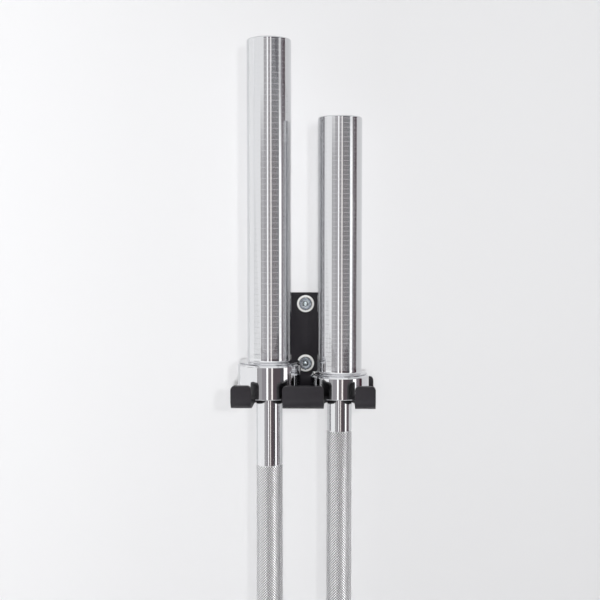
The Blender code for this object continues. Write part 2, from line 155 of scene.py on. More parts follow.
# The dish in a screw head's face: (radius, depth)
HEAD_DISH = [
    (0.0000, 0.0),
    (0.0010, 0.00005),
    (0.0020, 0.00025),
    (0.0026, 0.0006),
    (0.0029, 0.0012),
    (0.0032, 0.0003),
    (0.0035, 0.00005),
]

# Angles in degrees. Edges that turn more than an EDGE angle are rounded, faces that turn
# less than FLAT_ANGLE are joined, and edges that turn more than a SHARP angle stay sharp.
EDGE_ANGLE_BRACKET = 50
EDGE_ANGLE_HEAD = 35
FLAT_ANGLE = 0.3
SHARP_USUAL = 32
SHARP_SLEEVE = 20
SHARP_KNURL = 20
SHARP_BRACKET = 40
SHARP_HEAD = 25
SHARP_SHANK = 50

# Mesh fineness
SLEEVE_STEPS = 80
SHAFT_STEPS = 64
WASHER_STEPS = 96
SHANK_STEPS = 32
THREAD_RINGS_PER_TURN = 10
BEND_STEPS = 18
CORNER_STEPS = 8
SLOT_STEPS = 24
FILLET_STEPS = 8
ROUNDING_STEPS = 5
EDGE_STEPS_BRACKET = 3
EDGE_STEPS_HEAD = 2

# Points nearer to each other than this become one
WELD = 0.000001
OUTLINE_WELD = 0.00001


# Helpers


def middle(node):
    """The x, y and z of the middle of a CAD node's box."""
    low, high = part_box(node)
    return [(a + b) / 2 for a, b in zip(low, high)]


def radius_of(node):
    """The radius of a CAD node that is round in x."""
    low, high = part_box(node)
    return (high.x - low.x) / 2


def new_object(name, data):
    obj = bpy.data.objects.new(name, data)
    bpy.context.scene.collection.objects.link(obj)
    return obj


def applied(obj):
    """The object's mesh with its modifiers applied."""
    bpy.context.view_layer.update()
    graph = bpy.context.evaluated_depsgraph_get()
    mesh = bpy.data.meshes.new_from_object(obj.evaluated_get(graph))
    obj.modifiers.clear()
    return mesh


def smooth(mesh, sharp_angle=SHARP_USUAL):
    """Smooth shading, but for edges that turn more than an angle in degrees."""
    mesh.shade_smooth()
    mesh.set_sharp_from_angle(angle=math.radians(sharp_angle))


def turned(name, profile, steps, closed=False, sharp_angle=SHARP_USUAL):
    """A body of revolution about Z from (radius, height) points down its outer side."""
    edges = [(i, i + 1) for i in range(len(profile) - 1)]
    if closed:
        edges.append((len(profile) - 1, 0))
    mesh = bpy.data.meshes.new(name)
    mesh.from_pydata([(r, 0, z) for r, z in profile], edges, [])
    obj = new_object(name, mesh)
    screw = obj.modifiers.new("turn", "SCREW")
    screw.steps = steps
    screw.render_steps = steps
    screw.use_merge_vertices = True
    screw.merge_threshold = WELD
    obj.data = applied(obj)
    smooth(obj.data, sharp_angle)
    return obj


def arc(radius, start, end, steps, centre=(0, 0)):
    """Points on an arc between two angles in degrees."""
    x, y = centre
    points = []
    for i in range(steps + 1):
        angle = math.radians(start + (end - start) * i / steps)
        points.append((x + radius * math.cos(angle), y + radius * math.sin(angle)))
    return points


def circle(radius, steps, centre=(0, 0)):
    return arc(radius, 0, 360, steps, centre)[:-1]


def rounded(corners):
    """A closed outline through (x, y, radius, steps) corners, which are all square."""
    points = []
    for i, (x, y, radius, steps) in enumerate(corners):
        corner = Vector((x, y))
        to_last = (Vector(corners[i - 1][:2]) - corner).normalized()
        to_next = (Vector(corners[(i + 1) % len(corners)][:2]) - corner).normalized()
        centre = corner + (to_last + to_next) * radius
        for k in range(steps + 1):
            angle = math.pi / 2 * k / steps
            spoke = to_next * math.cos(angle) + to_last * math.sin(angle)
            point = centre - spoke * radius
            if not points or (point - points[-1]).length > OUTLINE_WELD:
                points.append(point)
    return [tuple(point) for point in points]


def flat_plate(name, outlines, thickness):
    """A plate from z = 0 up, cut to closed outlines. Those inside the first are holes."""
    curve = bpy.data.curves.new(name, "CURVE")
    curve.dimensions = "2D"
    curve.fill_mode = "BOTH"
    curve.extrude = thickness / 2
    for outline in outlines:
        spline = curve.splines.new("POLY")
        spline.points.add(len(outline) - 1)
        for point, (x, y) in zip(spline.points, outline):
            point.co = (x, y, 0, 1)
        spline.use_cyclic_u = True
    source = new_object(name + "_outline", curve)
    mesh = applied(source)
    bpy.data.objects.remove(source)
    shape = bmesh.new()
    shape.from_mesh(mesh)
    bmesh.ops.remove_doubles(shape, verts=shape.verts, dist=OUTLINE_WELD)
    bmesh.ops.translate(shape, verts=shape.verts, vec=(0, 0, thickness / 2))
    bmesh.ops.recalc_face_normals(shape, faces=shape.faces)
    shape.to_mesh(mesh)
    shape.free()
    return new_object(name, mesh)


def lofted(name, rings):
    """A closed body through rings of points, capped at both ends."""
    steps = len(rings[0])
    points = [point for ring in rings for point in ring]
    faces = [tuple(range(steps)), tuple(reversed(range(len(points) - steps, len(points))))]
    for k in range(len(rings) - 1):
        for i in range(steps):
            a = k * steps + i
            b = k * steps + (i + 1) % steps
            faces.append((b, a, a + steps, b + steps))
    mesh = bpy.data.meshes.new(name)
    mesh.from_pydata(points, [], faces)
    shape = bmesh.new()
    shape.from_mesh(mesh)
    bmesh.ops.recalc_face_normals(shape, faces=shape.faces)
    shape.to_mesh(mesh)
    shape.free()
    smooth(mesh, SHARP_SHANK)
    return new_object(name, mesh)


def dress(obj, material, body, node):
    """Gives a piece its finish and its body, and hides the CAD node that it stands for."""
    obj.data.materials.clear()
    obj.data.materials.append(material)
    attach(obj, body)
    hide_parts(node)


# Materials

# The span that a noise node's values mostly keep to, and how much finer than a metal's
# colour its roughness drifts
NOISE_SPAN = (0.3, 0.7)
ROUGHNESS_FINENESS = 2.3

# Rings of painted highlight and shade on the screw heads and washers: (share of RING_REACH from
# the axis, colour)
RING_REACH = 0.010
HEAD_HIGHLIGHT_AND_SHADE_RINGS = [
    (0.22, (0.84, 0.93, 0.97)),
    (0.29, (0.20, 0.23, 0.26)),
    (0.34, (0.66, 0.72, 0.76)),
    (0.46, (0.58, 0.64, 0.69)),
    (0.50, (0.22, 0.25, 0.29)),
    (0.55, (0.46, 0.52, 0.58)),
    (0.72, (0.30, 0.34, 0.38)),
]
# The washer's painted shade beside the head, then its own pale tone
WASHER_TONE_AND_SHADE_RINGS = [
    (0.66, (0.05, 0.055, 0.06)),
    (0.73, (0.10, 0.105, 0.11)),
    (0.78, (0.86, 0.86, 0.84)),
    (0.96, (0.90, 0.90, 0.88)),
]

# Painted shade in the knurling's grooves and a painted highlight on its diamonds' tops: tones
# from the floor of its grooves to the top of its diamonds
KNURL_SHADE_AND_HIGHLIGHT = [
    (0.00, (0.16, 0.16, 0.165)),
    (0.50, (0.46, 0.46, 0.47)),
    (0.90, (0.95, 0.95, 0.96)),
]


class NodeTree:
    """A node tree that is built up node by node. Values are other nodes' outputs."""

    def __init__(self, tree):
        self.tree = tree

    def add(self, kind, **settings):
        node = self.tree.nodes.new(kind)
        for name, value in settings.items():
            setattr(node, name, value)
        return node

    def join(self, start, end):
        self.tree.links.new(start, end)

    def calculated(self, operation, first, second):
        """What an operation makes of two values, either of which may be a plain number."""
        node = self.add("ShaderNodeMath", operation=operation)
        for socket, value in zip(node.inputs, (first, second)):
            if isinstance(value, (int, float)):
                socket.default_value = value
            else:
                self.join(value, socket)
        return node.outputs[0]

    def spread(self, value, start, stop, low=0.0, high=1.0, kind="LINEAR"):
        """A value's way from start to stop, spread over low to high."""
        node = self.add("ShaderNodeMapRange", interpolation_type=kind)
        ends = {"From Min": start, "From Max": stop, "To Min": low, "To Max": high}
        for name, end in ends.items():
            node.inputs[name].default_value = end
        self.join(value, node.inputs["Value"])
        return node.outputs["Result"]

    def ramp(self, value, stops):
        """A value's colour on a ramp through (position, colour) stops."""
        node = self.add("ShaderNodeValToRGB")
        elements = node.color_ramp.elements
        while len(elements) < len(stops):
            elements.new(0.5)
        for element, (position, colour) in zip(elements, stops):
            element.position = position
            element.color = (*colour, 1.0)
        self.join(value, node.inputs["Fac"])
        return node.outputs["Color"]


class Shader(NodeTree):
    """A Principled material, whose textures follow its object's own metres."""

    def __init__(self, name, roughness, metallic=0.0):
        self.material = bpy.data.materials.new(name)
        self.material.use_nodes = True
        super().__init__(self.material.node_tree)
        self.surface = self.tree.nodes["Principled BSDF"]
        self.surface.inputs["Roughness"].default_value = roughness
        self.surface.inputs["Metallic"].default_value = metallic
        self.place = self.add("ShaderNodeTexCoord").outputs["Object"]

    def noise(self, scale, detail, stretch=None):
        """Noise that is stretched along the object's axes where asked."""
        node = self.add("ShaderNodeTexNoise")
        node.inputs["Scale"].default_value = scale
        node.inputs["Detail"].default_value = detail
        place = self.place
        if stretch:
            mapping = self.add("ShaderNodeMapping")
            mapping.inputs["Scale"].default_value = stretch
            self.join(place, mapping.inputs["Vector"])
            place = mapping.outputs["Vector"]
        self.join(place, node.inputs["Vector"])
        return node.outputs["Fac"]

    def drifting(self, noise, low, high):
        """A value that follows a noise over its usual span."""
        return self.spread(noise, *NOISE_SPAN, low, high)

    def drifting_colour(self, noise, dark, light):
        """A colour that follows a noise over its usual span."""
        return self.ramp(noise, list(zip(NOISE_SPAN, (dark, light))))

    def bump(self, height, strength, distance):
        node = self.add("ShaderNodeBump")
        node.inputs["Strength"].default_value = strength
        node.inputs["Distance"].default_value = distance
        self.join(height, node.inputs["Height"])
        self.join(node.outputs["Normal"], self.surface.inputs["Normal"])

    def from_axis(self, reach):
        """The distance from the object's Z axis, as a share of reach."""
        flat = self.add("ShaderNodeMapping")
        flat.inputs["Scale"].default_value = (1 / reach, 1 / reach, 0)
        self.join(self.place, flat.inputs["Vector"])
        length = self.add("ShaderNodeVectorMath", operation="LENGTH")
        self.join(flat.outputs["Vector"], length.inputs[0])
        return length.outputs["Value"]

    def attribute(self, name):
        return self.add("ShaderNodeAttribute", attribute_name=name).outputs["Fac"]

    def colour(self, value):
        self.join(value, self.surface.inputs["Base Color"])

    def roughness(self, value):
        self.join(value, self.surface.inputs["Roughness"])


def metal(name, roughness, scale, stretch=None, tones=None):
    """A metal whose roughness drifts between two values, and its colour between two tones
    where they are given."""
    shader = Shader(name, roughness[0], metallic=1.0)
    if tones:
        stains = shader.noise(scale, detail=4.0, stretch=stretch)
        shader.colour(shader.drifting_colour(stains, *tones))
    wear = shader.noise(scale * ROUGHNESS_FINENESS, detail=5.0, stretch=stretch)
    shader.roughness(shader.drifting(wear, *roughness))
    return shader


def polished_chrome():
    """Bright chrome with hair-fine turning marks."""
    tones = ((0.63, 0.635, 0.65), (0.69, 0.695, 0.71))
    chrome = metal("polished_chrome", (0.03, 0.07), 14.0, stretch=(1, 1, 0.25), tones=tones)
    marks = chrome.noise(900.0, detail=2.0, stretch=(0.3, 0.3, 1))
    chrome.bump(marks, strength=0.25, distance=0.00004)
    return chrome.material


def knurled_chrome():
    """Satin chrome, with painted shade the deeper in the knurling's grooves and a painted
    highlight on its tops.
    """
    grip = metal("knurled_chrome", (0.285, 0.33), 60.0, stretch=(1, 1, 0.4))
    grip.colour(grip.ramp(grip.attribute("crest"), KNURL_SHADE_AND_HIGHLIGHT))
    grip.bump(grip.noise(2500.0, detail=2.0), strength=0.08, distance=0.00005)
    return grip.material


def black_powder_coat():
    coat = Shader("black_powder_coat", 0.5)
    coat.surface.inputs["Specular IOR Level"].default_value = 0.45
    dark, light = (0.0115, 0.0103, 0.0130), (0.0150, 0.0136, 0.0168)
    coat.colour(coat.drifting_colour(coat.noise(30.0, detail=4.0), dark, light))
    coat.roughness(coat.drifting(coat.noise(220.0, detail=3.0), 0.44, 0.58))
    coat.bump(coat.noise(1500.0, detail=3.0), strength=0.35, distance=0.00025)
    return coat.material


def screw_zinc():
    """Bright zinc plate with rings of painted highlight and painted shade on the screw heads."""
    zinc = metal("zinc_plate", (0.22, 0.32), 200.0)
    zinc.colour(zinc.ramp(zinc.from_axis(RING_REACH), HEAD_HIGHLIGHT_AND_SHADE_RINGS))
    return zinc.material


def washer_zinc():
    """Paler zinc, with painted shade beside the screw's head."""
    zinc = metal("washer_zinc", (0.36, 0.44), 150.0)
    zinc.surface.inputs["Metallic"].default_value = 0.45
    zinc.colour(zinc.ramp(zinc.from_axis(RING_REACH), WASHER_TONE_AND_SHADE_RINGS))
    return zinc.material


def bearing_bronze():
    tones = ((0.42, 0.26, 0.11), (0.60, 0.40, 0.19))
    return metal("bearing_bronze", (0.28, 0.42), 180.0, tones=tones).material


def bearing_steel():
    tones = ((0.48, 0.49, 0.51), (0.60, 0.61, 0.63))
    return metal("bearing_steel", (0.18, 0.30), 160.0, tones=tones).material


def spring_steel():
    tones = ((0.07, 0.07, 0.075), (0.13, 0.13, 0.14))
    return metal("spring_steel", (0.30, 0.45), 300.0, tones=tones).material


MATERIALS = {
    "chrome": polished_chrome(),
    "grip_chrome": knurled_chrome(),
    "black_coat": black_powder_coat(),
    "zinc": screw_zinc(),
    "washer": washer_zinc(),
    "bronze": bearing_bronze(),
    "bearing_steel": bearing_steel(),
    "spring_steel": spring_steel(),
}


def finish_cad_nodes():
    """The CAD nodes, of which the inner pieces stay in sight, take their slots' materials."""
    slots = {row["node"]: row["material_slot"] for row in frame["record"]["subparts"]}
    for name, node in frame["nodes"].items():
        for slot in node.material_slots:
            slot.material = MATERIALS[slots[name]]


# Bracket


class Bracket:
    """The bracket's blank and its two bends, sized from the CAD node's box."""

    def __init__(self):
        low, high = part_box("hanger_bracket")
        self.top = high.z
        self.underside = low.z
        self.depth = -low.y
        self.width = high.x - low.x
        self.bend_radius = BEND_INSIDE + PLATE
        self.wall_plate = self.top - self.underside - self.bend_radius
        self.bend = self.bend_radius * math.pi / 2
        self.shelf = self.depth - 2 * self.bend_radius
        self.lip = FLANGE_HEIGHT - self.bend_radius
        self.bar_from_wall = -middle("left_shaft")[1]

    def blank(self):
        """The flat plate, from its top edge at y = 0 to the tips of its lips."""
        end = self.wall_plate + 2 * self.bend + self.shelf + self.lip
        shoulder = self.top - self.underside - FLANGE_HEIGHT
        bar_place = self.wall_plate + self.bend + self.bar_from_wall - self.bend_radius
        slot_end = bar_place - SLOT_WIDTH / 2
        edge = self.width / 2
        stem = STEM_WIDTH / 2
        corner = (CORNER_RADIUS, CORNER_STEPS)
        slot_corner = (SLOT_WIDTH / 2, SLOT_STEPS)
        corners = [
            (stem, 0, *corner),
            (-stem, 0, *corner),
            (-stem, shoulder, *corner),
            (-edge, shoulder, *corner),
            (-edge, end, *corner),
        ]
        for bar_x in (-BAR_SPACING / 2, BAR_SPACING / 2):
            near, far = bar_x - SLOT_WIDTH / 2, bar_x + SLOT_WIDTH / 2
            corners += [
                (near, end, *corner),
                (near, slot_end, *slot_corner),
                (far, slot_end, *slot_corner),
                (far, end, *corner),
            ]
        corners += [
            (edge, end, *corner),
            (edge, shoulder, *corner),
            (stem, shoulder, *corner),
        ]
        holes = []
        for screw in ("upper_lag_screw", "lower_lag_screw"):
            down = self.top - middle(screw)[2]
            holes.append(circle(SCREW_HOLE / 2, SLOT_STEPS, (0, down)))
        return flat_plate("bracket_plate", [rounded(corners), *holes], PLATE)

    def bent(self, point):
        """Where a point of the blank lies after the two bends."""
        x, along, depth = point
        radius = self.bend_radius - depth
        centre_z = self.underside + self.bend_radius
        if along <= self.wall_plate:
            return (x, -depth, self.top - along)
        along -= self.wall_plate
        if along <= self.bend:
            angle = along / self.bend_radius
            y = -self.bend_radius + radius * math.cos(angle)
            return (x, y, centre_z - radius * math.sin(angle))
        along -= self.bend
        if along <= self.shelf:
            return (x, -self.bend_radius - along, self.underside + depth)
        along -= self.shelf
        if along <= self.bend:
            angle = along / self.bend_radius
            y = self.bend_radius - self.depth - radius * math.sin(angle)
            return (x, y, centre_z - radius * math.cos(angle))
        along -= self.bend
        return (x, depth - self.depth, centre_z + along)

    def bend_blank(self, obj):
        """Cuts the blank across its bends into strips, bends it and joins what stays flat."""
        shape = bmesh.new()
        shape.from_mesh(obj.data)
        for start in (self.wall_plate, self.wall_plate + self.bend + self.shelf):
            for step in range(BEND_STEPS + 1):
                bmesh.ops.bisect_plane(
                    shape,
                    geom=[*shape.verts, *shape.edges, *shape.faces],
                    dist=WELD,
                    plane_co=(0, start + self.bend * step / BEND_STEPS, 0),
                    plane_no=(0, 1, 0),
                )
        for vert in shape.verts:
            vert.co = self.bent(vert.co)
        bmesh.ops.dissolve_limit(
            shape, angle_limit=math.radians(FLAT_ANGLE), verts=shape.verts, edges=shape.edges
        )
        bmesh.ops.recalc_face_normals(shape, faces=shape.faces)
        shape.to_mesh(obj.data)
        shape.free()

    def round_edges(self, obj):
        bevel = obj.modifiers.new("rounded edges", "BEVEL")
        bevel.width = EDGE_RADIUS
        bevel.segments = EDGE_STEPS_BRACKET
        bevel.limit_method = "ANGLE"
        bevel.angle_limit = math.radians(EDGE_ANGLE_BRACKET)
        bevel.harden_normals = True
        obj.data = applied(obj)
        smooth(obj.data, SHARP_BRACKET)

    def make(self):
        obj = self.blank()
        self.bend_blank(obj)
        self.round_edges(obj)
        # Points that the bevel leaves a hair outside the CAD node's box go back onto it
        low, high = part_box("hanger_bracket")
        for vert in obj.data.vertices:
            vert.co = [min(max(c, a), b) for c, a, b in zip(vert.co, low, high)]
        dress(obj, MATERIALS["black_coat"], "wall_bracket", "hanger_bracket")


# Screws and washers


def place_at_wall(obj, node):
    """Turns a piece that was built up +Z to stand out of the wall at a node's height."""
    x, _, z = middle(node)
    obj.rotation_euler = (math.pi / 2, 0, 0)
    obj.location = (x, 0, z)


def make_washer(place):
    node = place + "_washer"
    low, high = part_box(node)
    outer, inner = radius_of(node), SCREW_HOLE / 2
    bottom, top = -high.y, -low.y
    rounding = (top - bottom) * WASHER_ROUNDING_SHARE
    profile = arc(rounding, 90, 0, ROUNDING_STEPS, (outer - rounding, top - rounding))
    profile += [
        (outer, bottom + EDGE_BREAK),
        (outer - EDGE_BREAK, bottom),
        (inner, bottom),
        (inner, top - EDGE_BREAK),
        (inner + EDGE_BREAK, top),
    ]
    obj = turned(place + "_round_washer", profile, WASHER_STEPS, closed=True)
    place_at_wall(obj, node)
    dress(obj, MATERIALS["washer"], "wall_bracket", node)


def hexagon_prism(across_corners, middle):
    """A six-sided bar, longer than a screw's turned head, that cuts its flats."""
    shape = bmesh.new()
    bmesh.ops.create_cone(
        shape,
        cap_ends=True,
        segments=6,
        radius1=across_corners / 2,
        radius2=across_corners / 2,
        depth=3 * HEAD_HEIGHT,
        matrix=Matrix.Translation((0, 0, middle)),
    )
    mesh = bpy.data.meshes.new("hexagon")
    shape.to_mesh(mesh)
    shape.free()
    return new_object("hexagon", mesh)


def screw_head(name, seat, top):
    across_corners = HEAD_ACROSS_FLATS / math.cos(math.pi / 6)
    drop = (across_corners - HEAD_ACROSS_FLATS) / 2
    profile = [(radius, top - depth) for radius, depth in HEAD_DISH]
    profile += [
        (HEAD_ACROSS_FLATS / 2 - drop / 2, top),
        (across_corners / 2, top - drop),
        (across_corners / 2, seat),
        (0, seat),
    ]
    head = turned(name, profile, WASHER_STEPS)
    prism = hexagon_prism(across_corners, seat)
    cut = head.modifiers.new("hexagon", "BOOLEAN")
    cut.operation = "INTERSECT"
    cut.solver = "EXACT"
    cut.object = prism
    head.data = applied(head)
    bpy.data.objects.remove(prism)
    bevel = head.modifiers.new("edges", "BEVEL")
    bevel.width = HEAD_EDGE
    bevel.segments = EDGE_STEPS_HEAD
    bevel.angle_limit = math.radians(EDGE_ANGLE_HEAD)
    head.data = applied(head)
    smooth(head.data, SHARP_HEAD)
    return head


def plain_ring(z):
    """A ring of a screw's smooth shank."""
    return [(x, y, z) for x, y in circle(PLAIN_SHANK_RADIUS, SHANK_STEPS)]


def threaded_rings(bottom, top):
    """Rings of a shank whose thread winds round it, thinning out to its point."""
    root = SHANK_RADIUS - THREAD_DEPTH
    rings = []
    count = int((top - bottom) / THREAD_PITCH * THREAD_RINGS_PER_TURN)
    for k in range(count + 1):
        z = top + (bottom - top) * k / count
        taper = min(1.0, (z - bottom) / (2 * SHANK_RADIUS) + POINT_SHARE)
        start = min(1.0, (top - z) / THREAD_PITCH)
        ring = []
        for i in range(SHANK_STEPS):
            turn = i / SHANK_STEPS
            phase = (z / THREAD_PITCH + turn) % 1.0
            crest = max(0.0, 1.0 - abs(phase - 0.5) * THREAD_SHARPNESS)
            r = (root + THREAD_DEPTH * crest * start) * taper
            ring.append((r * math.cos(math.tau * turn), r * math.sin(math.tau * turn), z))
        rings.append(ring)
    return rings


def screw_shank(name, seat, tip):
    """Smooth from inside the head to the back of the plate, and threaded from there on."""
    plain_end = seat - PLATE
    rings = [plain_ring(seat + SHANK_RUN_OUT), plain_ring(plain_end)]
    rings += threaded_rings(tip, plain_end - SHANK_RUN_OUT)
    return lofted(name, rings)


def make_lag_screw(place):
    node = place + "_lag_screw"
    low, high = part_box(node)
    top, tip = -low.y, -high.y
    seat = top - HEAD_HEIGHT
    for piece in (screw_head(node + "_head", seat, top), screw_shank(node + "_shank", seat, tip)):
        place_at_wall(piece, node)
        dress(piece, MATERIALS["zinc"], "wall_bracket", node)


# Bars


class Bar:
    """One bar's places, from the frame. Heights run up from its upper collar's face."""

    def __init__(self, side):
        self.side = side
        sleeve = side + "_upper_sleeve"
        low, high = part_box(sleeve)
        self.x, self.y, _ = middle(sleeve)
        self.face = low.z
        self.end = high.z - low.z
        self.collar_radius = radius_of(sleeve)
        self.collar_width = COLLAR_WIDTHS[side]
        self.grip = radius_of(side + "_shaft")
        self.journal_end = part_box(side + "_shaft")[1].z - self.face
        self.bore = radius_of(side + "_upper_bushing") + FIT_GAP
        self.cap_radius = radius_of(side + "_upper_end_cap")
        self.cap_bore = self.cap_radius + FIT_GAP
        low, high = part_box(side + "_upper_end_cap")
        self.cap_bottom = low.z - self.face
        self.cap_top = high.z - self.face

    def put(self, obj, place):
        """Puts a piece that was built up from a collar's inner face at its bar's end."""
        if place == "upper":
            obj.location = (self.x, self.y, self.face)
        else:
            obj.location = (self.x, self.y, self.face - GRIP_LENGTH)
            obj.rotation_euler = (math.pi, 0, 0)


def tool_grooves(bar, outer):
    """The fine grooves down a sleeve's side, every few of them a deeper one."""
    pitch = GROOVE_PITCHES[bar.side]
    first = bar.end - GROOVES_FROM_END
    last = bar.collar_width + COLLAR_FILLET + GROOVES_FROM_FILLET
    points = []
    for k in range(int((first - last) / pitch)):
        z = first - k * pitch
        deep = k % DEEP_GROOVES[bar.side] == 0
        half = DEEP_GROOVE_HALF if deep else GROOVE_HALF
        depth = half * math.tan(math.radians(GROOVE_SLOPE))
        points += [(outer, z + half), (outer - depth, z), (outer, z - half)]
    return points


def collar_profile(bar, outer):
    """A collar from its fillet over its rim and undercut down to its inner face."""
    collar = bar.collar_radius
    fillet_centre = (outer + COLLAR_FILLET, bar.collar_width + COLLAR_FILLET)
    slope_end = bar.collar_width - COLLAR_SLOPE
    rim = collar - COLLAR_RIM_INSET
    ledge = slope_end - COLLAR_UNDERCUT_HEIGHT
    return arc(COLLAR_FILLET, 180, 270, FILLET_STEPS, fillet_centre) + [
        (rim - 3 * EDGE_BREAK, slope_end + COLLAR_RIM_ROLL),
        (rim - 2 * EDGE_BREAK, slope_end - EDGE_BREAK),
        (rim - 2 * EDGE_BREAK - COLLAR_UNDERCUT, ledge),
        (rim - EDGE_BREAK, ledge),
        (rim, ledge - EDGE_BREAK),
        (collar - EDGE_BREAK, ledge - COLLAR_RIM_CHAMFER),
        (collar, ledge - COLLAR_RIM_CHAMFER - 2 * EDGE_BREAK),
        (collar, COLLAR_EDGE_CHAMFER),
        (collar - COLLAR_EDGE_CHAMFER, 0),
    ]


def sleeve_profile(bar):
    """A sleeve's outline, from its far end down its outside and back up its bore."""
    outer = SLEEVE_DIAMETER / 2
    cap_ledge = bar.cap_bottom - FIT_GAP
    profile = [(bar.cap_bore + SLEEVE_MOUTH_CHAMFER, bar.end)]
    for inward, down in SLEEVE_END_ROUNDING:
        profile.append((outer - SLEEVE_END_CHAMFER * inward, bar.end - SLEEVE_END_CHAMFER * down))
    profile += tool_grooves(bar, outer)
    profile += collar_profile(bar, outer)
    profile += [
        (bar.bore, 0),
        (bar.bore, cap_ledge),
        (bar.cap_bore, cap_ledge),
        (bar.cap_bore, bar.end - SLEEVE_MOUTH_CHAMFER),
    ]
    return profile


def make_sleeves(bar):
    """A bar's two sleeves, which share one mesh."""
    upper = turned(
        bar.side + "_upper_turned_sleeve",
        sleeve_profile(bar),
        SLEEVE_STEPS,
        closed=True,
        sharp_angle=SHARP_SLEEVE,
    )
    lower = new_object(bar.side + "_lower_turned_sleeve", upper.data)
    for place, sleeve in (("upper", upper), ("lower", lower)):
        bar.put(sleeve, place)
        body = f"{bar.side}_bar_{place}_end"
        dress(sleeve, MATERIALS["chrome"], body, f"{bar.side}_{place}_sleeve")


def make_end_caps(bar):
    outer = bar.cap_radius
    profile = [
        (0, bar.cap_top),
        (outer - CAP_ROUNDING, bar.cap_top),
        (outer - EDGE_BREAK, bar.cap_top - EDGE_BREAK),
        (outer, bar.cap_top - CAP_ROUNDING),
        (outer, bar.cap_bottom),
        (0, bar.cap_bottom),
    ]
    for place in ("upper", "lower"):
        cap = turned(f"{bar.side}_{place}_cap_disc", profile, SLEEVE_STEPS)
        bar.put(cap, place)
        body = f"{bar.side}_bar_{place}_end"
        dress(cap, MATERIALS["chrome"], body, f"{bar.side}_{place}_end_cap")


def knurl_stretches(bar):
    """The knurled stretches as (upper end, lower end), down from the upper collar."""
    centre = GRIP_LENGTH / 2
    ring_low = centre - RING_MARK_FROM_CENTRE - RING_MARK_WIDTH / 2
    ring_high = centre - RING_MARK_FROM_CENTRE + RING_MARK_WIDTH / 2
    inner_end = centre - KNURL_FROM_CENTRE
    upper = [(SMOOTH_NECKS[bar.side], ring_low), (ring_high, inner_end)]
    lower = [(GRIP_LENGTH - b, GRIP_LENGTH - a) for a, b in reversed(upper)]
    half = CENTRE_KNURL_HALF[bar.side]
    middle = [(centre - half, centre + half)] if half else []
    return upper + middle + lower


def make_shaft(bar):
    """The smooth shaft, turned down under each knurled stretch to seat its knurling."""
    grip, journal = bar.grip, bar.grip - JOURNAL_STEP
    seat = grip - KNURL_SEAT
    profile = [
        (0, bar.journal_end),
        (journal - SHAFT_CHAMFER, bar.journal_end),
        (journal, bar.journal_end - SHAFT_CHAMFER),
        (journal, 0),
        (grip - SHAFT_CHAMFER, 0),
        (grip, -SHAFT_CHAMFER),
    ]
    for upper, lower in knurl_stretches(bar):
        profile += [
            (grip, -upper + SHOULDER_RUN),
            (grip - SHOULDER_DROP, -upper),
            (seat, -upper),
            (seat, -lower),
            (grip - SHOULDER_DROP, -lower),
            (grip, -lower - SHOULDER_RUN),
        ]
    profile += [
        (grip, -GRIP_LENGTH + SHAFT_CHAMFER),
        (grip - SHAFT_CHAMFER, -GRIP_LENGTH),
        (journal, -GRIP_LENGTH),
        (journal, -GRIP_LENGTH - bar.journal_end + SHAFT_CHAMFER),
        (journal - SHAFT_CHAMFER, -GRIP_LENGTH - bar.journal_end),
        (0, -GRIP_LENGTH - bar.journal_end),
    ]
    obj = turned(bar.side + "_smooth_shaft", profile, SHAFT_STEPS)
    bar.put(obj, "upper")
    dress(obj, MATERIALS["chrome"], bar.side + "_bar", bar.side + "_shaft")


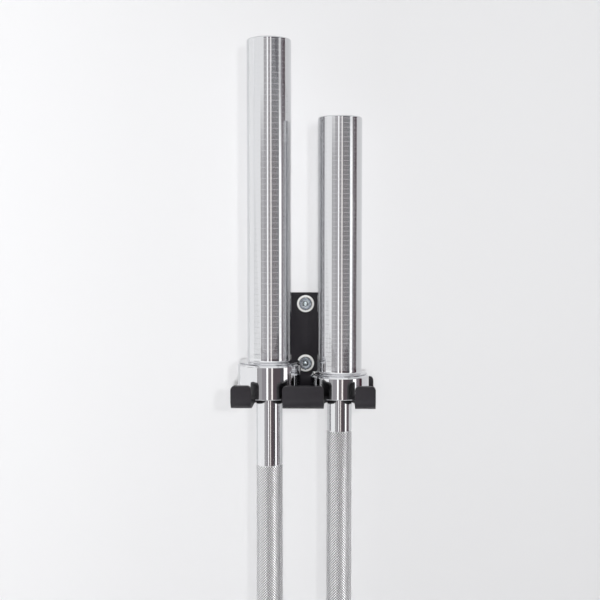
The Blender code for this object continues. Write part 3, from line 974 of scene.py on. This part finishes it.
class Knurling:
    """Flat-topped diamonds between two families of grooves, round one stretch of a shaft.

    The stretch is divided into columns round it and rows down it. Grooves cross where
    column + row is even, and diamonds centre where it is odd.
    """

    def __init__(self, radius, length):
        self.radius = radius
        self.length = length
        self.columns = 2 * round(math.tau * radius / DIAMOND_WIDTH)
        self.rows = 2 * round(length / DIAMOND_LENGTH)
        self.points = []
        self.faces = []
        self.crossing = {}

    def point(self, radius, column, row):
        """Adds a point, and gives its number."""
        angle = math.tau * column / self.columns
        height = -self.length * row / self.rows
        self.points.append((radius * math.cos(angle), radius * math.sin(angle), height))
        return len(self.points) - 1

    def cross_grooves(self):
        valley = self.radius - KNURL_DEPTH
        for row in range(self.rows + 1):
            for column in range(row % 2, self.columns, 2):
                self.crossing[column, row] = self.point(valley, column, row)

    def add_diamond(self, column, row):
        around = ((column, row - 1), (column - 1, row), (column, row + 1), (column + 1, row))
        top = self.radius + KNURL_RAISE
        tops = []
        for c, r in around:
            step_c = column + (c - column) * DIAMOND_TOP
            step_r = row + (r - row) * DIAMOND_TOP
            tops.append(self.point(top, step_c, step_r))
        corners = [self.crossing[c % self.columns, r] for c, r in around]
        self.faces.append(tuple(tops))
        for k in range(4):
            n = (k + 1) % 4
            self.faces.append((corners[k], corners[n], tops[n], tops[k]))

    def close_end(self, row, step):
        """Fills the notches of the first or last row, down to a ring in the shaft's seat.
        A step leads from that row into the stretch."""
        inner = self.radius - KNURL_SEAT + KNURL_SEAT_GAP
        ring = {column: self.point(inner, column, row) for column in range(0, self.columns, 2)}
        for column in ring:
            beyond = (column + 2) % self.columns
            here, there = self.crossing[column, row], self.crossing[beyond, row]
            tip = self.crossing[column + 1, row + step]
            a, b = ring[column], ring[beyond]
            if step == 1:
                self.faces += [(here, tip, there), (here, there, b, a)]
            else:
                self.faces += [(here, there, tip), (here, a, b, there)]
        return ring

    def add_bore(self, upper, lower):
        for column in upper:
            beyond = (column + 2) % self.columns
            self.faces.append((upper[column], upper[beyond], lower[beyond], lower[column]))

    def mark_crests(self, mesh):
        """Gives tops and ends a 1 and grooves a 0, which the material turns into painted
        highlight and painted shade.
        """
        crests = mesh.attributes.new("crest", "FLOAT", "POINT")
        for vert, crest in zip(mesh.vertices, crests.data):
            at_end = vert.co.z > -KNURL_END_BAND or vert.co.z < KNURL_END_BAND - self.length
            crest.value = 1.0 if at_end or vert.co.xy.length > self.radius else 0.0

    def build(self, name):
        self.cross_grooves()
        for row in range(1, self.rows):
            for column in range((row + 1) % 2, self.columns, 2):
                self.add_diamond(column, row)
        upper = self.close_end(0, 1)
        lower = self.close_end(self.rows, -1)
        self.add_bore(upper, lower)
        mesh = bpy.data.meshes.new(name)
        mesh.from_pydata(self.points, [], self.faces)
        self.mark_crests(mesh)
        smooth(mesh, SHARP_KNURL)
        return mesh


def make_knurling(bar):
    names = ["upper_outer", "upper_inner", "centre", "lower_inner", "lower_outer"]
    if CENTRE_KNURL_HALF[bar.side] is None:
        names.remove("centre")
    for name, (upper, lower) in zip(names, knurl_stretches(bar)):
        mesh = Knurling(bar.grip, lower - upper).build(f"{bar.side}_{name}_knurling")
        obj = new_object(mesh.name, mesh)
        obj.location = (bar.x, bar.y, bar.face - upper)
        dress(obj, MATERIALS["grip_chrome"], bar.side + "_bar", bar.side + "_shaft")


# Room, light and camera

# The wall's paint carries painted light, paling towards the left and the top: (x, tone)
# across it, its fall per metre and how much bluer than grey it is
WALL_PAINTED_LIGHT = [(-0.36, 0.906), (-0.20, 0.826), (-0.10, 0.786), (0.09, 0.728), (0.33, 0.726)]
WALL_PAINTED_FALLOFF = 0.08
WALL_BLUE = 1.014
WALL_ROUGHNESS = 0.45

# The floor's tone, and how much lighter the camera sees it
FLOOR_TONE = 0.80
FLOOR_LIFT = 0.30
FLOOR_ROUGHNESS = 0.6

# Stage: how far it stays from the part, and how far it reaches sideways and to the front
WALL_GAP = 0.0004
FLOOR_GAP = 0.02
STAGE_REACH = 4
FLOOR_FRONT = 6


def one_sided(name, roughness):
    """A paint that is seen only from its front."""
    paint = Shader(name, roughness)
    paint.surface.inputs["Specular IOR Level"].default_value = 0.0
    clear = paint.add("ShaderNodeBsdfTransparent")
    mix = paint.add("ShaderNodeMixShader")
    geometry = paint.add("ShaderNodeNewGeometry")
    paint.join(geometry.outputs["Backfacing"], mix.inputs["Fac"])
    paint.join(paint.surface.outputs["BSDF"], mix.inputs[1])
    paint.join(clear.outputs["BSDF"], mix.inputs[2])
    paint.join(mix.outputs["Shader"], paint.tree.nodes["Material Output"].inputs["Surface"])
    return paint


def wall_paint():
    paint = one_sided("wall_paint", WALL_ROUGHNESS)
    axes = paint.add("ShaderNodeSeparateXYZ")
    paint.join(paint.place, axes.inputs[0])
    # The tones across and down the wall are painted light, brighter at the left and the top
    left, right = WALL_PAINTED_LIGHT[0][0], WALL_PAINTED_LIGHT[-1][0]
    stops = []
    for x, tone in WALL_PAINTED_LIGHT:
        stops.append(((x - left) / (right - left), (tone, tone, tone * WALL_BLUE)))
    across = paint.ramp(paint.spread(axes.outputs["X"], left, right), stops)
    down = paint.spread(axes.outputs["Z"], -1.0, 1.0, 1.0 - WALL_PAINTED_FALLOFF, 1.0 + WALL_PAINTED_FALLOFF)
    scaled = paint.add("ShaderNodeVectorMath", operation="SCALE")
    paint.join(across, scaled.inputs[0])
    paint.join(down, scaled.inputs["Scale"])
    paint.colour(scaled.outputs["Vector"])
    return paint.material


def floor_paint():
    """Pale paint that the camera sees lighter than the lamps, aimed at the wall, leave it."""
    paint = one_sided("floor_paint", FLOOR_ROUGHNESS)
    paint.surface.inputs["Base Color"].default_value = (FLOOR_TONE, FLOOR_TONE, FLOOR_TONE, 1.0)
    paint.surface.inputs["Emission Color"].default_value = (1.0, 1.0, 1.0, 1.0)
    seen = paint.add("ShaderNodeLightPath").outputs["Is Camera Ray"]
    lift = paint.calculated("MULTIPLY", seen, FLOOR_LIFT)
    paint.join(lift, paint.surface.inputs["Emission Strength"])
    return paint.material


def add_stage_plane(name, corners, material):
    mesh = bpy.data.meshes.new(name)
    mesh.from_pydata(corners, [], [(0, 1, 2, 3)])
    mesh.materials.append(material)
    plane = new_object(name, mesh)
    return plane


def make_wall():
    y = WALL_GAP
    end = STAGE_REACH
    corners = [(-end, y, -end), (end, y, -end), (end, y, end), (-end, y, end)]
    add_stage_plane("wall", corners, wall_paint())


def make_floor():
    z = CAD_BOUNDS[0].z - FLOOR_GAP
    end = STAGE_REACH
    front = -FLOOR_FRONT
    corners = [(-end, front, z), (end, front, z), (end, end, z), (-end, end, z)]
    floor = add_stage_plane("floor", corners, floor_paint())
    floor.visible_glossy = False


# Screens that only the metal mirrors. Seen from above, each runs from its point (x, and
# the distance in front of the bars) to the next one's. It has a tone, and one at its top,
# and None is a gap. SCREEN_HEIGHTS are the heights on the bars, as the camera sees them,
# at which they end, start to turn to their top tone, have turned and end.
SCREEN_HEIGHTS = (-0.16, 0.20, 0.28, 0.38)
SCREEN_WHITE = (1.75, 1.75, 1.75)
SCREENS = [
    (-0.150, -0.040, (1.15, 1.15, 1.155), (1.15, 1.15, 1.155)),
    (-3.200, -0.030, None, None),
    (-1.452, 1.700, (0.22, 0.20, 0.21), (1.15, 1.15, 1.15)),
    (-1.338, 1.700, (0.50, 0.49, 0.50), (1.15, 1.15, 1.15)),
    (-0.743, 1.700, (0.38, 0.36, 0.38), (0.46, 0.44, 0.45)),
    (-0.227, 1.700, SCREEN_WHITE, SCREEN_WHITE),
    (-0.053, 1.700, (0.26, 0.23, 0.24), (0.35, 0.32, 0.34)),
    (0.295, 1.700, (1.45, 1.36, 1.31), (1.55, 1.50, 1.48)),
    (0.455, 1.700, (0.125, 0.10, 0.11), (0.14, 0.135, 0.15)),
    (0.620, 0.700, (0.11, 0.105, 0.115), (0.15, 0.15, 0.165)),
    (0.781, 0.546, SCREEN_WHITE, (0.72, 0.72, 0.72)),
    (0.640, 0.250, (0.25, 0.22, 0.24), (0.20, 0.17, 0.19)),
    (0.780, 0.090, (0.07, 0.035, 0.045), (0.07, 0.035, 0.045)),
    (0.940, -0.040, (0.07, 0.035, 0.045), (0.07, 0.035, 0.045)),
    (0.450, -0.040, None, None),
]


def screen_mesh():
    bars = -middle("left_shaft")[1]
    camera_reach = -CAMERA_PLACE[1] - bars
    points, faces, tones = [], [], []
    for x, distance, _, _ in SCREENS:
        reach = math.hypot(x, distance)
        for height in SCREEN_HEIGHTS:
            rise = (height - CAMERA_PLACE[2]) / camera_reach
            points.append((x, -bars - distance, height + rise * reach))
    levels = len(SCREEN_HEIGHTS)
    for i, (_, _, tone, top_tone) in enumerate(SCREENS):
        if tone is None:
            continue
        low, high = (*tone, 1.0), (*top_tone, 1.0)
        for k, (below, above) in enumerate(((low, low), (low, high), (high, high))):
            here, there = levels * i + k, levels * (i + 1) + k
            faces.append((here, there, there + 1, here + 1))
            tones += [below, below, above, above]
    mesh = bpy.data.meshes.new("screens")
    mesh.from_pydata(points, [], faces)
    layer = mesh.color_attributes.new("tone", "FLOAT_COLOR", "CORNER")
    for corner, tone in zip(layer.data, tones):
        corner.color = tone
    return mesh


def screen_glow():
    """Light of the colour that each screen's corners carry."""
    material = bpy.data.materials.new("screen_glow")
    material.use_nodes = True
    glow = NodeTree(material.node_tree)
    glow.tree.nodes.remove(glow.tree.nodes["Principled BSDF"])
    tone = glow.add("ShaderNodeVertexColor", layer_name="tone")
    light = glow.add("ShaderNodeEmission")
    glow.join(tone.outputs["Color"], light.inputs["Color"])
    glow.join(light.outputs["Emission"], glow.tree.nodes["Material Output"].inputs["Surface"])
    return material


def make_screens():
    screens = new_object("screens", screen_mesh())
    screens.data.materials.append(screen_glow())
    screens.visible_camera = False
    screens.visible_diffuse = False
    screens.visible_shadow = False
    screens.visible_transmission = False


# The room's own tones: what lights the wall, what the metal mirrors and what is seen
ROOM_FILL = (0.14, 0.14, 0.141)
ROOM_GROUND = (0.16, 0.16, 0.17)
ROOM_LEFT = (1.15, 1.15, 1.155)
ROOM_RIGHT = (0.55, 0.55, 0.57)
ROOM_HIGH_FRONT = (1.80, 1.80, 1.80)
ROOM_HIGH_SIDES = (0.28, 0.28, 0.29)
ROOM_CEILING = (1.05, 1.05, 1.06)
ROOM_SEEN = (0.88, 0.88, 0.89)

# Where the room's bands start, from the ground up: the rise of a ray, as a share of its
# length, over which each band takes over from the one below it
ROOM_BAND_STARTS = [(-0.88, -0.84), (-0.46, -0.36), (-0.24, -0.21), (0.30, 0.38), (0.59, 0.63)]

# Where the left half gives way to the right in x, and the front to the sides in y
ROOM_RIGHT_START = (-0.2, 0.3)
ROOM_SIDES_START = (-0.65, -0.50)

# What the tops of the knurling mirror: (degrees right of straight ahead, tone)
ROOM_LOW = [
    (-100, 2.40),
    (-80, 1.90),
    (-62, 0.90),
    (-46, 1.50),
    (-32, 2.80),
    (-19, 2.70),
    (-12, 0.20),
    (8, 0.10),
    (20, 0.80),
    (34, 1.60),
    (41, 5.20),
    (56, 5.20),
    (62, 0.30),
    (74, 0.80),
    (90, 2.40),
]


class World(NodeTree):
    """The room's tones, by the direction of a ray."""

    def __init__(self):
        world = bpy.data.worlds.new("studio")
        bpy.context.scene.world = world
        world.use_nodes = True
        super().__init__(world.node_tree)
        self.tree.nodes.clear()
        axes = self.add("ShaderNodeSeparateXYZ")
        self.join(self.add("ShaderNodeTexCoord").outputs["Generated"], axes.inputs[0])
        self.x, self.y, self.z = axes.outputs

    def share(self, value, start, stop):
        """How far a value has come from start to stop, with a soft start and stop."""
        return self.spread(value, start, stop, kind="SMOOTHSTEP")

    def mixed(self, factor, low, high):
        """Two colours, each of them plain or mixed before, by a factor from 0 to 1."""
        node = self.add("ShaderNodeMix", data_type="RGBA")
        self.join(factor, node.inputs["Factor"])
        for socket, value in ((node.inputs["A"], low), (node.inputs["B"], high)):
            if isinstance(value, tuple):
                socket.default_value = (*value, 1.0)
            else:
                self.join(value, socket)
        return node.outputs["Result"]

    def by_angle(self, stops):
        """A grey by the degrees that a ray points right of straight ahead."""
        first, last = stops[0][0], stops[-1][0]
        ahead = self.calculated("MULTIPLY", self.y, -1)
        angle = self.calculated("ARCTAN2", self.x, ahead)
        share = self.spread(angle, math.radians(first), math.radians(last))
        greys = []
        for degrees, tone in stops:
            greys.append(((degrees - first) / (last - first), (tone, tone, tone)))
        return self.ramp(share, greys)

    def show(self, colour):
        background = self.add("ShaderNodeBackground")
        self.join(colour, background.inputs["Color"])
        output = self.add("ShaderNodeOutputWorld")
        self.join(background.outputs["Background"], output.inputs["Surface"])


def make_world():
    world = World()
    level = world.mixed(world.share(world.x, *ROOM_RIGHT_START), ROOM_LEFT, ROOM_RIGHT)
    sides = world.share(world.y, *ROOM_SIDES_START)
    high = world.mixed(sides, ROOM_HIGH_FRONT, ROOM_HIGH_SIDES)
    tones = [ROOM_CEILING, world.by_angle(ROOM_LOW), level, high, ROOM_CEILING]
    room = ROOM_GROUND
    for (start, stop), tone in zip(ROOM_BAND_STARTS, tones):
        room = world.mixed(world.share(world.z, start, stop), room, tone)
    rays = world.add("ShaderNodeLightPath")
    room = world.mixed(rays.outputs["Is Glossy Ray"], ROOM_FILL, room)
    world.show(world.mixed(rays.outputs["Is Camera Ray"], room, ROOM_SEEN))


# Lamps aimed at the frame's origin: name, place, size, watts, and whether it casts shadows
LAMPS = [
    ("front_fill", (0.00, -2.60, 0.25), 0.60, 27.0, False),
    ("front_light", (0.10, -2.60, 0.12), 0.10, 27.0, True),
    ("key", (0.50, -1.93, 0.31), 0.10, 4.8, True),
]


def aim(obj, place, target):
    """Puts a lamp or camera at a place and turns it to a target."""
    obj.location = place
    direction = Vector(target) - Vector(place)
    obj.rotation_euler = direction.to_track_quat("-Z", "Y").to_euler()


def make_lights():
    for name, place, size, power, shadow in LAMPS:
        data = bpy.data.lights.new(name, "AREA")
        data.size = size
        data.energy = power
        data.use_shadow = shadow
        lamp = new_object(name, data)
        lamp.visible_glossy = False
        aim(lamp, place, (0, 0, 0))


def make_camera():
    data = bpy.data.cameras.new("camera")
    data.lens = CAMERA_LENS
    data.sensor_width = CAMERA_SENSOR
    camera = new_object("camera", data)
    aim(camera, CAMERA_PLACE, CAMERA_TARGET)
    bpy.context.scene.camera = camera


def main():
    bpy.context.scene.view_settings.view_transform = "Standard"
    finish_cad_nodes()
    Bracket().make()
    for place in ("upper", "lower"):
        make_washer(place)
        make_lag_screw(place)
    for side in ("left", "right"):
        bar = Bar(side)
        make_sleeves(bar)
        make_end_caps(bar)
        make_shaft(bar)
        make_knurling(bar)
    make_wall()
    make_floor()
    make_screens()
    make_world()
    make_lights()
    make_camera()


main()
